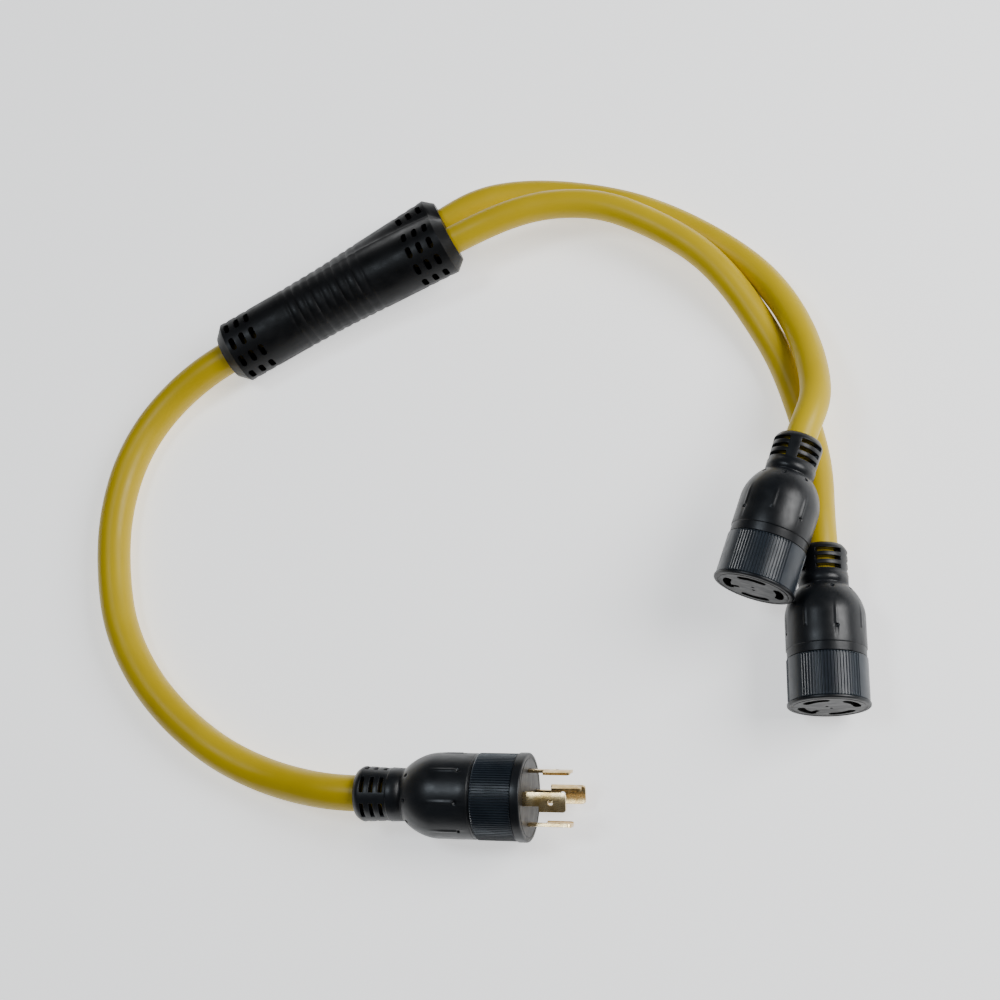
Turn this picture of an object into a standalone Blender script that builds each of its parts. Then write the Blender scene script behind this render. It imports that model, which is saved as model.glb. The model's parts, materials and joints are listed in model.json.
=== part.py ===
"""Y adapter cord: one four-blade locking plug, a moulded splitter and two locking connectors.

Everything lies on the plane z = 0.  Each housing is modelled in its own frame: local +Z runs
along its axis from the cord mouth (z = 0) to its far face, and an empty places that frame.
"""
import bpy
import bmesh
from collections import namedtuple
from math import asin, cos, pi, radians, sin
from mathutils import Euler, Matrix, Vector, geometry

# ---------------------------------------------------------------- driving dimensions (metres)
GAP = 0.0003                  # clearance between neighbouring solids
GAP_ANGLE = 1.4               # the same clearance on the blades' circle, in degrees
SEGMENTS = 28                 # steps of a turned shape

INPUT_CORD_D = 0.0185         # cord from plug to splitter
OUTPUT_CORD_D = 0.016         # cords from splitter to connectors
INPUT_WIRE_D = 0.0044
OUTPUT_WIRE_D = 0.0036
CORD_STEP = 0.018             # spacing of the cord's tube points

PIN_RADIUS = 0.0135           # circle on which blades and slots lie
BLADE_THICK = 0.0015
BLADE_LENGTH = 0.0217         # beyond the plug's face
GROUND_LENGTH = 0.0257
BLADE_NECK = 0.008            # narrow, notched stretch next to the face
BLADE_HALF_ANGLE = 20.0       # degrees, full blade width at the tip
NOTCH_ANGLE = 12.0            # degrees taken off one side of the neck
BLADE_HOLE_D = 0.0028
BLADE_HOLE_AT = 0.0140        # hole centre beyond the face
GROUND_FLANGE = 0.0040        # inward leg of the ground blade

CARRIER_RADIUS = 0.0164       # contact carrier inside the housing
CARRIER_DEPTH = 0.022         # how far the carrier reaches behind the face
CAVITY_RADIUS = CARRIER_RADIUS + GAP
TAIL_DEPTH = 0.028            # where a contact's tail starts, behind the face
SLOT_SKIN = 0.004             # plate thickness left around a connector's slots
FACE_SLOT = 0.0024            # width of a slot in a connector's face
FACE_SLOT_HALF_ANGLE = 23.0
CLIP_INNER = 0.0116           # female contact: inner and outer radius, leaf, solid base
CLIP_OUTER = 0.0152
CLIP_HALF_ANGLE = 22.0
LEAF = 0.0008
CLIP_BASE = 0.008
POCKET_GAP = 0.0004
POCKET_HALF_ANGLE = 26.5
PLUG_WIRE_R = 0.0122          # circle on which the wires meet the blades' tails
CLIP_WIRE_R = 0.0128
JACKET_DEPTH = 0.023          # how far a jacket reaches into a housing
CONE_START = 0.0245           # the bore widens from here to CONE_END
CONE_END = 0.0365

Housing = namedtuple("Housing", "length neck mouth_r root_r bell_r band_start band_r "
                                "rim rim_r seat_r bore_r slot_columns slot_degrees slot_rows")
PLUG = Housing(length=0.090, neck=0.0205, mouth_r=0.0141, root_r=0.0130, bell_r=0.0216,
               band_start=0.0605, band_r=0.0218, rim=0.0058, rim_r=0.0223, seat_r=0.0199,
               bore_r=INPUT_CORD_D / 2 + GAP, slot_columns=6, slot_degrees=36,
               slot_rows=(0.0050, 0.0100, 0.0150))
CONNECTOR = Housing(length=0.082, neck=0.0192, mouth_r=0.0126, root_r=0.0121, bell_r=0.0200,
                    band_start=0.0548, band_r=0.0200, rim=0.0036, rim_r=0.0205, seat_r=0.0184,
                    bore_r=OUTPUT_CORD_D / 2 + GAP, slot_columns=4, slot_degrees=62,
                    slot_rows=(0.0043, 0.0085, 0.0127))

SPLITTER_LENGTH = 0.146
SPLITTER_IN_R = 0.0183        # input barrel
SPLITTER_OUT_R = 0.0172       # each output barrel
BRANCH_HALF_GAP = 0.012       # each branch's distance from the middle at the output end
BRANCH_START = 0.040          # where the branches leave the middle line
BARREL_TAPER_END = 0.100      # the input barrel fades out inside the branches here
COLLAR = 0.005                # chamfered end of each barrel
CHAMFER = 0.0022
SPLITTER_SLOT_ROWS = (0.0090, 0.0155, 0.0220)
CHAMBER_START = 0.031         # hollow around the splices
CHAMBER_END = 0.1165
SLEEVE_START = 0.032
SLEEVE_END = 0.098
SLEEVE_R = 0.0140
SLEEVE_BORE = 0.0124
SPLICE_D = 0.0090
SPLICE_START = 0.060
SPLICE_END = 0.076
SPLICE_OFFSET = 0.00475       # splices lie two by two around the middle line
IN_JACKET_DEPTH = 0.028       # jacket ends inside the splitter
OUT_JACKET_AT = 0.118
FAN_END = 0.100               # wires run straight along their branch from here
FAN_LEAD = 0.0045             # straight stretch of each output wire behind its splice
PASS_OUTSIDE = 0.0015         # how far a wire swings out where another passes inside it
WIRE_INSET = 0.0016           # output wires end this far before their tilted jacket
WIRE_PACK = 0.78              # a wire's distance from its cord's middle, in wire diameters
PAIR_OFFSET = 0.00195         # two output wires leave one splice this far from its middle

SLOT_WIDTH = 0.0021           # flex slots in necks and barrels
SLOT_REACH = 0.0060           # radial length of a slot's cutter
RIDGES = 36                   # ridges of a grip collar

# ---------------------------------------------------------------- layout (metres, degrees)
Place = namedtuple("Place", "mouth azimuth pitch roll")
SHIFT = Vector((-0.0111, 0.0012, 0.0))
PLUG_PLACE = Place((-0.0718, -0.1568, 0.0209), -3.8, 1.0, 18.0)
CONNECTOR_A_PLACE = Place((0.1630, 0.0092, 0.0388), -109.2, 2.5, -1.0)
CONNECTOR_B_PLACE = Place((0.1693, -0.0427, 0.01915), -90.9, 1.5, 26.0)
SPLITTER_PLACE = Place((-0.1597, 0.0989, 0.0181), 24.9, 2.0, 0.0)
SPLITTER_ROLL = -120.0        # turns the branch plane so that one branch lies low, one high

# Routes: points between the housings' mouths, chosen by hand along the lie of each cord.
INPUT_ROUTE = [
    (-0.1735, 0.0924, 0.0166), (-0.1885, 0.0840, 0.0128), (-0.2030, 0.0722, 0.0099),
    (-0.2160, 0.0535, 0.0093), (-0.2240, 0.0322, 0.0093), (-0.2277, 0.0082, 0.0093),
    (-0.2272, -0.0158, 0.0093), (-0.2206, -0.0516, 0.0093), (-0.2061, -0.0812, 0.0093),
    (-0.1861, -0.1056, 0.0093), (-0.1617, -0.1260, 0.0093), (-0.1445, -0.1362, 0.0093),
    (-0.1265, -0.1442, 0.0100), (-0.1045, -0.1513, 0.0152), (-0.0890, -0.1550, 0.0194),
]
OUTPUT_A_ROUTE = [
    (-0.0115, 0.1808, 0.0158), (0.0045, 0.1844, 0.0124), (0.0225, 0.1850, 0.0092),
    (0.0495, 0.1798, 0.0081), (0.0803, 0.1685, 0.0081), (0.1109, 0.1500, 0.0081),
    (0.1396, 0.1253, 0.0090), (0.1560, 0.1020, 0.0125), (0.1668, 0.0751, 0.0182),
    (0.1716, 0.0503, 0.0268), (0.1720, 0.0322, 0.0333),
]
OUTPUT_B_ROUTE = [
    (-0.0050, 0.1570, 0.0311), (0.0090, 0.1622, 0.0303), (0.0270, 0.1668, 0.0280),
    (0.0450, 0.1675, 0.0252), (0.0623, 0.1651, 0.0228), (0.0814, 0.1558, 0.0213),
    (0.0982, 0.1450, 0.0200), (0.1148, 0.1314, 0.0188), (0.1276, 0.1164, 0.0155),
    (0.1376, 0.1010, 0.0118), (0.1465, 0.0845, 0.0089), (0.1543, 0.0675, 0.0081),
    (0.1631, 0.0365, 0.0081), (0.1686, 0.0090, 0.0097), (0.1694, -0.0095, 0.0133),
    (0.1689, -0.0253, 0.0174),
]

CONDUCTORS = ("hot_x", "neutral", "hot_y", "ground")
WIRE_COLOURS = {"hot_x": "black", "neutral": "white", "hot_y": "red", "ground": "green"}


# ---------------------------------------------------------------- scene and materials
def clear_scene():
    for obj in list(bpy.data.objects):
        bpy.data.objects.remove(obj, do_unlink=True)


def make_collection(name):
    collection = bpy.data.collections.new(name)
    bpy.context.scene.collection.children.link(collection)
    return collection


def material(name, colour, roughness, metallic=0.0):
    mat = bpy.data.materials.new(name)
    mat.use_nodes = True
    shader = mat.node_tree.nodes["Principled BSDF"]
    shader.inputs["Base Color"].default_value = (*colour, 1.0)
    shader.inputs["Roughness"].default_value = roughness
    shader.inputs["Metallic"].default_value = metallic
    return mat


clear_scene()
PARTS = make_collection("y_adapter_cord")
CUTTERS = make_collection("cutters")

MATERIALS = {
    "black_pvc": material("black_pvc", (0.012, 0.013, 0.015), 0.45),
    "grip_rubber": material("grip_rubber", (0.020, 0.024, 0.030), 0.55),
    "yellow_pvc": material("yellow_pvc", (0.70, 0.47, 0.03), 0.42),
    "carrier_nylon": material("carrier_nylon", (0.030, 0.026, 0.023), 0.5),
    "inner_mould": material("inner_mould", (0.35, 0.35, 0.34), 0.6),
    "brass": material("brass", (0.72, 0.50, 0.20), 0.28, 1.0),
    "tinned_copper": material("tinned_copper", (0.60, 0.58, 0.55), 0.35, 1.0),
    "wire_black": material("wire_black", (0.010, 0.010, 0.010), 0.5),
    "wire_white": material("wire_white", (0.80, 0.80, 0.78), 0.5),
    "wire_red": material("wire_red", (0.55, 0.02, 0.02), 0.5),
    "wire_green": material("wire_green", (0.02, 0.30, 0.06), 0.5),
}


# ---------------------------------------------------------------- modelling helpers
def add_object(name, data, parent=None, mat=None, collection=None):
    """Link a new object; a cutter has no material."""
    obj = bpy.data.objects.new(name, data)
    (collection or PARTS).objects.link(obj)
    obj.parent = parent
    if mat:
        data.materials.append(MATERIALS[mat])
    return obj


def as_cutter(obj):
    obj.hide_render = True
    obj.display_type = "WIRE"
    return obj


def mesh_object(name, bm, parent, mat=None, collection=None):
    mesh = bpy.data.meshes.new(name)
    bmesh.ops.recalc_face_normals(bm, faces=bm.faces)
    bm.to_mesh(mesh)
    bm.free()
    return add_object(name, mesh, parent, mat, collection)


def boolean(obj, other, operation="DIFFERENCE"):
    mod = obj.modifiers.new(operation.lower(), "BOOLEAN")
    mod.operation = operation
    mod.solver = "EXACT"
    mod.object = other


def turned(name, profile, parent, mat=None, collection=None, segments=SEGMENTS):
    """Turn a closed profile of (radius, z) points, outer side first, from top to bottom."""
    bm = bmesh.new()
    verts = [bm.verts.new((r, 0, z)) for r, z in profile]
    for a, b in zip(verts, verts[1:] + verts[:1]):
        if a.co.x > 0 or b.co.x > 0:
            bm.edges.new((a, b))
    mesh = bpy.data.meshes.new(name)
    bm.to_mesh(mesh)
    bm.free()
    obj = add_object(name, mesh, parent, mat, collection)
    screw = obj.modifiers.new("turn", "SCREW")
    screw.steps = segments
    screw.render_steps = segments
    screw.use_merge_vertices = True
    screw.merge_threshold = 0.00001
    screw.use_smooth_shade = True
    return obj


def outline_solid(bm, points, low, high):
    """Add a solid with the given flat outline between two heights."""
    face = bm.faces.new([bm.verts.new((x, y, low)) for x, y in points])
    side = bmesh.ops.extrude_face_region(bm, geom=[face])["geom"]
    moved = [v for v in side if isinstance(v, bmesh.types.BMVert)]
    bmesh.ops.translate(bm, verts=moved, vec=(0, 0, high - low))


def arc_outline(inner, outer, start, end, steps=4):
    """Points of a curved strip between two radii; the angles are in degrees."""
    angles = [radians(start + (end - start) * i / steps) for i in range(steps + 1)]
    rim = [(outer * cos(a), outer * sin(a)) for a in angles]
    return rim + [(inner * cos(a), inner * sin(a)) for a in reversed(angles)]


def extruded(name, points, low, high, parent, mat=None, collection=None):
    bm = bmesh.new()
    outline_solid(bm, points, low, high)
    return mesh_object(name, bm, parent, mat, collection)


def tube(name, points, diameter, mat, parent=None, roundness=2):
    """A round bar through the points, as a curve with filled caps."""
    curve = bpy.data.curves.new(name, "CURVE")
    curve.dimensions = "3D"
    curve.bevel_depth = diameter / 2
    curve.bevel_resolution = roundness
    curve.use_fill_caps = True
    spline = curve.splines.new("POLY")
    spline.points.add(len(points) - 1)
    for point, co in zip(spline.points, points):
        point.co = (*co, 1)
    return add_object(name, curve, parent, mat)


def smooth_path(points, step):
    """Read evenly spaced points from a smooth curve through the route's own points."""
    knots = [Vector(p) for p in points]
    fine = []
    for i in range(len(knots) - 1):
        before = knots[max(i - 1, 0)]
        after = knots[min(i + 2, len(knots) - 1)]
        span = (knots[i + 1] - knots[i]).length
        lead_in = (knots[i + 1] - before).normalized() * span / 3
        lead_out = (after - knots[i]).normalized() * span / 3
        piece = geometry.interpolate_bezier(knots[i], knots[i] + lead_in,
                                            knots[i + 1] - lead_out, knots[i + 1], 24)
        fine += piece[:-1]
    fine.append(knots[-1])
    total = sum((b - a).length for a, b in zip(fine, fine[1:]))
    count = max(2, round(total / step))
    path, target, run = [fine[0]], total / count, 0.0
    for a, b in zip(fine, fine[1:]):
        run += (b - a).length
        if run >= target * len(path) and len(path) < count:
            path.append(b)
    return path + [fine[-1]]


def ease(t):
    t = min(max(t, 0.0), 1.0)
    return t * t * (3 - 2 * t)


def frame(name, place):
    """An empty at a housing's cord mouth, its local +Z along the housing's axis."""
    empty = bpy.data.objects.new(name, None)
    PARTS.objects.link(empty)
    lean = Euler((0, pi / 2 - radians(place.pitch), radians(place.azimuth)))
    roll = Euler((0, 0, radians(place.roll)))
    empty.rotation_mode = "QUATERNION"
    empty.rotation_quaternion = lean.to_quaternion() @ roll.to_quaternion()
    empty.location = Vector(place.mouth) + SHIFT
    empty.empty_display_size = 0.02
    bpy.context.view_layer.update()
    return empty


# ---------------------------------------------------------------- plug and connector pieces
def flex_slots(name, parent, radius, reach, rows, angles, degrees):
    """One cutter that holds every flex slot of a neck, as blocks reaching through its wall."""
    bm = bmesh.new()
    width = 2 * radius * sin(radians(degrees / 2))
    for z in rows:
        for angle in angles:
            turn = Matrix.Rotation(radians(angle), 4, "Z")
            spot = Matrix.Translation((0, 0, z)) @ turn @ Matrix.Translation((radius, 0, 0))
            size = Matrix.Diagonal((reach, width, SLOT_WIDTH, 1))
            bmesh.ops.create_cube(bm, size=1, matrix=spot @ size)
    return as_cutter(mesh_object(name, bm, parent, collection=CUTTERS))


def bell_profile(h, steps=7):
    """Outer points from the band's edge back to the neck's root: a rounded shoulder."""
    reach = 0.0165
    points = [(h.bell_r, h.band_start)]
    for i in range(steps + 1):
        t = 1 - i / steps
        radius = h.root_r + (h.bell_r - h.root_r) * sin(t * pi / 2) ** 0.9
        points.append((radius, h.neck + reach * t ** 1.15))
    return points


def overmould(name, h, parent):
    """The outer body: neck, bell, and a thinner seat that carries the collar."""
    seat_end = h.length - h.rim - GAP
    outer = [(h.seat_r, seat_end), (h.seat_r, h.band_start)] + bell_profile(h)
    outer += [(h.root_r + 0.0004, h.neck - 0.0020), (h.mouth_r, 0.0035), (h.mouth_r - 0.0018, 0.0)]
    inner = [(h.bore_r, 0.0), (h.bore_r, CONE_START), (CAVITY_RADIUS, CONE_END + 0.001),
             (CAVITY_RADIUS, seat_end)]
    body = turned(name, outer + inner, parent, "black_pvc")
    angles = [360 * (i + 0.5) / h.slot_columns for i in range(h.slot_columns)]
    slots = flex_slots(name + "_slot_cutter", parent, h.mouth_r, SLOT_REACH, h.slot_rows, angles,
                       h.slot_degrees)
    boolean(body, slots)
    return body


def grip_collar(name, h, parent):
    """A ridged ring that sits on the seat between the bell and the rim."""
    low, high = h.band_start + GAP, h.length - h.rim - GAP
    points = []
    for i in range(2 * RIDGES):
        radius = h.band_r if i % 2 else h.band_r - 0.0004
        angle = pi * i / RIDGES
        points.append((radius * cos(angle), radius * sin(angle)))
    ring = extruded(name, points, low, high, parent, "grip_rubber")
    bore = [(h.seat_r + GAP, high + 0.002), (h.seat_r + GAP, low - 0.002), (0, low - 0.002),
            (0, high + 0.002)]
    boolean(ring, as_cutter(turned(name + "_bore", bore, parent, collection=CUTTERS)))
    return ring


def face_insert(name, h, parent, slots):
    """The contact carrier: a rim flange at the face and a boss that holds the contacts."""
    flange, back, top = h.length - h.rim, h.length - CARRIER_DEPTH, h.length
    profile = [(0, top), (h.rim_r - 0.0006, top), (h.rim_r, top - 0.0006), (h.rim_r, flange),
               (CARRIER_RADIUS, flange), (CARRIER_RADIUS, back), (0, back)]
    insert = turned(name, profile, parent, "carrier_nylon")
    for layer, cuts in enumerate(slots):
        bm = bmesh.new()
        for outline, low, high in cuts:
            outline_solid(bm, outline, low, high)
        cutter = mesh_object(f"{name}_cut_{layer}", bm, parent, collection=CUTTERS)
        boolean(insert, as_cutter(cutter))
    return insert


def inner_mould(name, h, parent):
    """The stiff first-shot tube around the crimped wires, behind the contact carrier."""
    top = h.length - TAIL_DEPTH - GAP
    low = CONE_START + 0.0012
    wide = CONE_END + 0.0014
    profile = [(CARRIER_RADIUS, top), (CARRIER_RADIUS, wide), (h.bore_r, low),
               (h.bore_r - 0.0020, low), (0.0148, wide), (0.0148, top)]
    return turned(name, profile, parent, "inner_mould")


def blade_sections(angle, kind):
    """(outline, from, to) of a blade's tail and of its wider tip, beyond the face."""
    inner, outer = PIN_RADIUS - BLADE_THICK / 2, PIN_RADIUS + BLADE_THICK / 2
    start, end = angle - BLADE_HALF_ANGLE, angle + BLADE_HALF_ANGLE
    neck = arc_outline(inner, outer, start, end - NOTCH_ANGLE)
    tip = arc_outline(inner, outer, start, end)
    if kind == "ground":
        edge = radians(end)
        along = Vector((cos(edge), sin(edge)))
        across = Vector((-sin(edge), cos(edge))) * BLADE_THICK / 2
        far = along * outer
        near = along * (outer - GROUND_FLANGE - BLADE_THICK)
        flange = [far + across, near + across, near - across, far - across]
        return neck, tip, [tuple(p) for p in flange]
    return neck, tip, None


def blade(name, h, parent, angle, kind):
    """A curved brass blade: tail through the carrier, notched neck, wide tip with a hole."""
    face = h.length
    tip_end = face + (GROUND_LENGTH if kind == "ground" else BLADE_LENGTH)
    neck, tip, flange = blade_sections(angle, kind)
    body = extruded(name, neck, face - TAIL_DEPTH, face + BLADE_NECK + 0.0005, parent, "brass")
    top = extruded(name + "_tip", tip, face + BLADE_NECK, tip_end, parent, collection=CUTTERS)
    boolean(body, as_cutter(top), "UNION")
    if flange:
        leg = extruded(name + "_leg", flange, face + BLADE_NECK + 0.0004, tip_end - 0.0015,
                       parent, collection=CUTTERS)
        boolean(body, as_cutter(leg), "UNION")
    bm = bmesh.new()
    swing = Matrix.Rotation(radians(angle), 4, "Z") @ Matrix.Translation((PIN_RADIUS, 0, 0))
    lift = Matrix.Translation((0, 0, face + BLADE_HOLE_AT))
    across = lift @ swing @ Matrix.Rotation(pi / 2, 4, "Y")
    bmesh.ops.create_cone(bm, cap_ends=True, segments=10, radius1=BLADE_HOLE_D / 2,
                          radius2=BLADE_HOLE_D / 2, depth=0.006, matrix=across)
    boolean(body, as_cutter(mesh_object(name + "_hole", bm, parent, collection=CUTTERS)))
    return body


def blade_slots(h, angles):
    """Cuts through the plug's carrier, one clearance wider than each blade's tail."""
    inner, outer = PIN_RADIUS - BLADE_THICK / 2 - GAP, PIN_RADIUS + BLADE_THICK / 2 + GAP
    slots = []
    for angle in angles.values():
        start = angle - BLADE_HALF_ANGLE - GAP_ANGLE
        end = angle + BLADE_HALF_ANGLE - NOTCH_ANGLE + GAP_ANGLE
        outline = arc_outline(inner, outer, start, end)
        slots.append((outline, h.length - CARRIER_DEPTH - 0.002, h.length + 0.002))
    return [slots]


def clip_slots(h, angles):
    """Cuts in a connector's carrier: a narrow slot in the face over a wider pocket."""
    slots, pockets = [], []
    skin = h.length - SLOT_SKIN
    for angle in angles.values():
        narrow = arc_outline(PIN_RADIUS - FACE_SLOT / 2, PIN_RADIUS + FACE_SLOT / 2,
                             angle - FACE_SLOT_HALF_ANGLE, angle + FACE_SLOT_HALF_ANGLE)
        pocket = arc_outline(CLIP_INNER - POCKET_GAP, CLIP_OUTER + POCKET_GAP,
                             angle - POCKET_HALF_ANGLE, angle + POCKET_HALF_ANGLE)
        slots.append((narrow, skin - 0.001, h.length + 0.002))
        pockets.append((pocket, h.length - CARRIER_DEPTH - 0.002, skin))
    return [pockets, slots]


def contact_clip(name, h, parent, angle):
    """A female contact: two curved leaves joined by a base, with a tail for the wire."""
    start, end = angle - CLIP_HALF_ANGLE, angle + CLIP_HALF_ANGLE
    low, high = h.length - TAIL_DEPTH, h.length - SLOT_SKIN - GAP
    body = extruded(name, arc_outline(CLIP_INNER, CLIP_OUTER, start, end), low, high, parent,
                    "brass")
    opening = arc_outline(CLIP_INNER + LEAF, CLIP_OUTER - LEAF, start - 3, end + 3)
    throat = extruded(name + "_throat", opening, low + CLIP_BASE, high + 0.002, parent,
                      collection=CUTTERS)
    boolean(body, as_cutter(throat))
    return body


def conductor_spot(index, radius):
    angle = radians(45 + 90 * index)
    return Vector((radius * cos(angle), radius * sin(angle)))


def lead_wires(prefix, h, parent, angles, diameter, contact_radius):
    """Insulated wires from the jacket's end to the tail of each contact."""
    low, high = JACKET_DEPTH + GAP, h.length - TAIL_DEPTH - GAP
    for index, kind in enumerate(CONDUCTORS):
        goal = radians(angles[kind])
        begin = radians(45 + 90 * index)
        spread = diameter * WIRE_PACK
        path = []
        for i in range(8):
            t = i / 7
            k = ease((t - 0.14) / 0.72)
            angle = begin + (goal - begin) * k
            radius = spread + (contact_radius - spread) * k
            path.append((radius * cos(angle), radius * sin(angle), low + (high - low) * t))
        colour = WIRE_COLOURS[kind]
        tube(f"{prefix}_{colour}_wire", path, diameter, "wire_" + colour, parent)


def end_fitting(prefix, h, place, wire_d):
    """One housing with everything in it; a plug carries blades, a connector has slots."""
    parent = frame(prefix + "_axis", place)
    male = prefix == "plug"
    first = 90.0 if male else 0.0
    angles = {kind: first + 90.0 * index for index, kind in enumerate(CONDUCTORS)}
    overmould(prefix + "_body", h, parent)
    grip_collar(prefix + "_grip_collar", h, parent)
    inner_mould(prefix + "_inner_mould", h, parent)
    slots = blade_slots(h, angles) if male else clip_slots(h, angles)
    face_insert(prefix + "_face_insert", h, parent, slots)
    for kind, angle in angles.items():
        if male:
            blade(f"{prefix}_{kind}_blade", h, parent, angle, kind)
        else:
            contact_clip(f"{prefix}_{kind}_contact", h, parent, angle)
    sideways = -NOTCH_ANGLE / 2 if male else 0.0
    goals = {kind: angle + sideways for kind, angle in angles.items()}
    lead_wires(prefix, h, parent, goals, wire_d, PLUG_WIRE_R if male else CLIP_WIRE_R)
    return parent


# ---------------------------------------------------------------- splitter pieces
def branch_offset(s):
    """Distance of a branch's middle from the splitter's middle line, at s along it."""
    return BRANCH_HALF_GAP * max(0.0, s - BRANCH_START) / (SPLITTER_LENGTH - BRANCH_START)


def branch_matrix(side):
    """Moves a shape drawn on the middle line onto one branch (side is +1 or -1)."""
    tilt = asin(BRANCH_HALF_GAP / (SPLITTER_LENGTH - BRANCH_START))
    hinge = Matrix.Translation((0, 0, BRANCH_START))
    turn = Matrix.Rotation(side * pi / (4 * SEGMENTS), 4, "Z")
    return hinge @ Matrix.Rotation(side * tilt, 4, "Y") @ hinge.inverted() @ turn


def barrel_end(radius, z, chamfered, inward):
    """Outline points of a barrel's end; inward is the direction from the end into the barrel."""
    if not chamfered:
        return [(0, z), (radius, z)]
    return [(0, z), (radius - CHAMFER, z), (radius, z + inward * COLLAR)]


def splitter_body(parent):
    """The moulded Y: an input barrel that grows into two output barrels, bored for the cords."""
    bottom = barrel_end(SPLITTER_IN_R, 0, True, 1)[::-1]
    profile = [(0, BARREL_TAPER_END), (0.0160, BARREL_TAPER_END), (SPLITTER_IN_R, 0.050)] + bottom
    body = turned("splitter_body", profile, parent, "black_pvc")
    for side, tag in ((1, "upper"), (-1, "lower")):
        top = barrel_end(SPLITTER_OUT_R, SPLITTER_LENGTH, True, -1)
        profile = top + barrel_end(SPLITTER_OUT_R, 0.045, False, 1)[::-1]
        barrel = turned(f"{tag}_barrel", profile, parent, collection=CUTTERS)
        barrel.matrix_local = branch_matrix(side)
        boolean(body, as_cutter(barrel), "UNION")
    entry, chamber = INPUT_CORD_D / 2 + GAP, SLEEVE_R + GAP
    middle = [(chamber, CHAMBER_END), (chamber, CHAMBER_START), (entry, CHAMBER_START),
              (entry, -0.002), (0, -0.002), (0, CHAMBER_END)]
    boolean(body, as_cutter(turned("middle_bore", middle, parent, collection=CUTTERS)))
    exit_r, start, end = OUTPUT_CORD_D / 2 + GAP, CHAMBER_END - 0.012, SPLITTER_LENGTH + 0.01
    for side, tag in ((1, "upper"), (-1, "lower")):
        profile = [(exit_r, end), (exit_r, start), (0, start), (0, end)]
        bore = turned(f"{tag}_bore", profile, parent, collection=CUTTERS)
        bore.matrix_local = branch_matrix(side)
        boolean(body, as_cutter(bore))
    angles = [30 + 60 * i for i in range(6)]
    slots = flex_slots("input_slot_cutter", parent, SPLITTER_IN_R - 0.002, SLOT_REACH,
                       SPLITTER_SLOT_ROWS, angles, 30)
    boolean(body, slots)
    return body


def inner_sleeve(parent):
    profile = [(SLEEVE_R, SLEEVE_END), (SLEEVE_R, SLEEVE_START), (SLEEVE_BORE, SLEEVE_START),
               (SLEEVE_BORE, SLEEVE_END)]
    return turned("splitter_inner_sleeve", profile, parent, "inner_mould", segments=24)


def splice_spot(index):
    return (SPLICE_OFFSET * (1, -1, -1, 1)[index], SPLICE_OFFSET * (1, 1, -1, -1)[index])


def splitter_splices(parent):
    """A crimp for each conductor, joining one input wire to two output wires."""
    for index, kind in enumerate(CONDUCTORS):
        x, y = splice_spot(index)
        bm = bmesh.new()
        spot = Matrix.Translation((x, y, (SPLICE_START + SPLICE_END) / 2))
        bmesh.ops.create_cone(bm, cap_ends=True, segments=16, radius1=SPLICE_D / 2,
                              radius2=SPLICE_D / 2, depth=SPLICE_END - SPLICE_START, matrix=spot)
        mesh_object(f"splitter_{kind}_splice", bm, parent, "tinned_copper")


def splitter_wires(parent):
    for index, kind in enumerate(CONDUCTORS):
        colour = WIRE_COLOURS[kind]
        x, y = splice_spot(index)
        start = conductor_spot(index, INPUT_WIRE_D * WIRE_PACK)
        path = []
        for i in range(7):
            t = i / 6
            k = ease((t - 0.16) / 0.68)
            s = IN_JACKET_DEPTH + GAP + (SPLICE_START - IN_JACKET_DEPTH - 2 * GAP) * t
            path.append((start.x + (x - start.x) * k, start.y + (y - start.y) * k, s))
        tube(f"splitter_input_{colour}_wire", path, INPUT_WIRE_D, "wire_" + colour, parent)
        for side, tag in ((1, "b"), (-1, "a")):
            path = branch_wire(index, side, x, y)
            tube(f"splitter_output_{tag}_{colour}_wire", path, OUTPUT_WIRE_D, "wire_" + colour,
                 parent)


def branch_wire(index, side, x, y):
    """From a splice to a conductor's place in one output cord.

    Two wires cross the middle above it and two below: one of each pair moves inward early,
    the other stays outside until they have passed.
    """
    pattern = conductor_spot(index, OUTPUT_WIRE_D * WIRE_PACK)
    begin, end = SPLICE_END + GAP, OUT_JACKET_AT - WIRE_INSET
    crosses = (x > 0) != (side > 0)
    path = []
    for i in range(11):
        s = begin + (end - begin) * i / 10
        t = min(max(0.0, (s - begin - FAN_LEAD) / (FAN_END - begin - FAN_LEAD)), 1.0)
        inward, bulge = ease(t), 0.0
        if crosses and side > 0:
            inward = ease(2 * t)
        elif crosses:
            inward = ease((t - 0.45) / 0.55)
            bulge = PASS_OUTSIDE * sin(pi * t) * (1 if y > 0 else -1)
        x_from = x + side * PAIR_OFFSET
        x_to = side * branch_offset(s) + pattern.x
        path.append((x_from + (x_to - x_from) * ease(t), y + (pattern.y - y) * inward + bulge, s))
    return path


def splitter():
    parent = frame("splitter_axis", SPLITTER_PLACE._replace(roll=SPLITTER_ROLL))
    splitter_body(parent)
    inner_sleeve(parent)
    splitter_splices(parent)
    splitter_wires(parent)
    return parent


# ---------------------------------------------------------------- cords
def on_axis(empty, z, side=0):
    """World point at z along a housing's axis, or along one of the splitter's branches."""
    local = Vector((0, 0, z))
    if side:
        local = branch_matrix(side) @ local
    return empty.matrix_world @ local


def cord(name, route, start, end, diameter):
    shifted = [Vector(p) + SHIFT for p in route]
    path = smooth_path(start + shifted + end, CORD_STEP)
    return tube(name, path, diameter, "yellow_pvc", roundness=3)


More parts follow.
